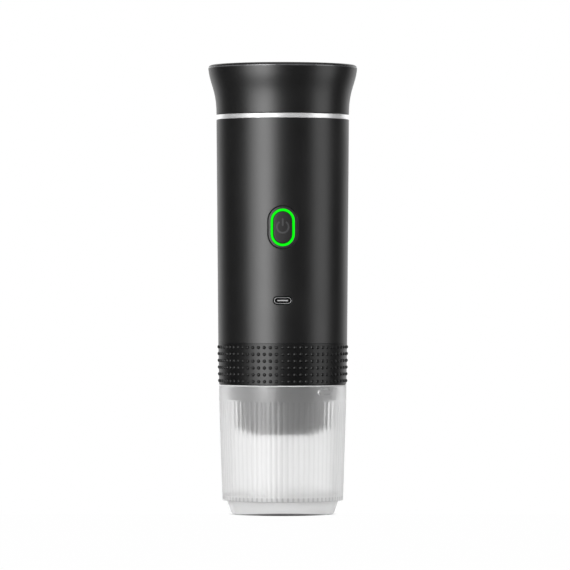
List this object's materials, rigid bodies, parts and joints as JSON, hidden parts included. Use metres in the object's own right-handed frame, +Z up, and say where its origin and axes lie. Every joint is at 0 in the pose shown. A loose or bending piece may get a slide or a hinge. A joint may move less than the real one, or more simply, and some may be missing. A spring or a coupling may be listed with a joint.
{
  "type": "portable espresso machine",
  "caption": "Cordless handheld espresso machine on its own fluted cup, with a flared tank cap, lit power button, charging port and a twist-on brew head with a dotted grip.",
  "frame": {"origin": "middle of the foot of the cup, at the surface that it stands on", "axes": "+Z up along the body's axis, -Y to the front with the button and the charging port, +X to the right seen from the front"},
  "size_m": [0.0786, 0.0786, 0.2366],
  "materials": {
    "frosted_plastic": "frosted translucent",
    "grip_rubber": "matte, raised dots",
    "dark_plastic": "matte",
    "steel": "brushed",
    "red_silicone": "matte",
    "black_metal": "satin black anodised",
    "frame_plastic": "matte",
    "cell_wrap": "shrink wrap over a metal can",
    "board": "solder mask",
    "pale_plastic": "matte",
    "bezel_plastic": "satin",
    "green_light": "lit light guide",
    "button_plastic": "satin",
    "copper": "enamelled wire",
    "black_rubber": "matte",
    "clear_silicone": "translucent",
    "heater_film": "film heater on a plate",
    "bright_metal": "bright polished"
  },
  "bodies": {
    "cup": {"cup": "frosted_plastic"},
    "machine": {"body_shell": "black_metal", "trim_ring": "bright_metal", "water_tank": "steel", "tank_heater": "heater_film", "temperature_sensor": "dark_plastic", "upper_frame": "frame_plastic", "lower_frame": "frame_plastic", "frame_screws": "steel", "battery_cells": "cell_wrap", "control_board": "board", "board_screws": "steel", "tact_switch": "dark_plastic", "usb_shell": "steel", "usb_tongue": "dark_plastic", "button_bezel": "bezel_plastic", "light_ring": "green_light", "pump_yoke": "steel", "pump_coil": "copper", "pump_cylinder": "pale_plastic", "plunger_spring": "steel", "pump_valve_ball": "steel", "pump_mounts": "black_rubber", "inlet_tube": "clear_silicone", "outlet_tube": "clear_silicone", "brew_group": "dark_plastic", "group_gasket": "red_silicone", "shower_plate": "steel", "group_screws": "steel"},
    "brew_head": {"grip_collar": "grip_rubber", "brew_chamber": "dark_plastic", "filter_basket": "steel", "crema_valve": "red_silicone"},
    "cap": {"cap_shell": "black_metal", "cap_liner": "dark_plastic", "cap_seal": "clear_silicone"},
    "button": {"power_button": "button_plastic", "switch_stem": "pale_plastic"},
    "plunger": {"pump_plunger": "steel"}
  },
  "joints": [
    {"name": "machine_lift", "type": "slide", "parent": "cup", "child": "machine", "axis": [0, 0, 1], "range_m": [0, 0.045]},
    {"name": "head_twist", "type": "hinge", "parent": "machine", "child": "brew_head", "pos_m": [0, 0, 0.08], "axis": [0, 0, 1], "range_deg": [0, 50]},
    {"name": "cap_lift", "type": "slide", "parent": "machine", "child": "cap", "axis": [0, 0, 1], "range_m": [0, 0.04]},
    {"name": "button_press", "type": "slide", "parent": "machine", "child": "button", "axis": [0, 1, 0], "range_m": [0, 0.0005], "stiffness_N_per_m": 500, "springref_m": -0.001},
    {"name": "plunger_stroke", "type": "slide", "parent": "machine", "child": "plunger", "axis": [0, 0, 1], "range_m": [-0.004, 0], "stiffness_N_per_m": 800, "springref_m": 0.002, "deforming": ["plunger_spring"]}
  ]
}
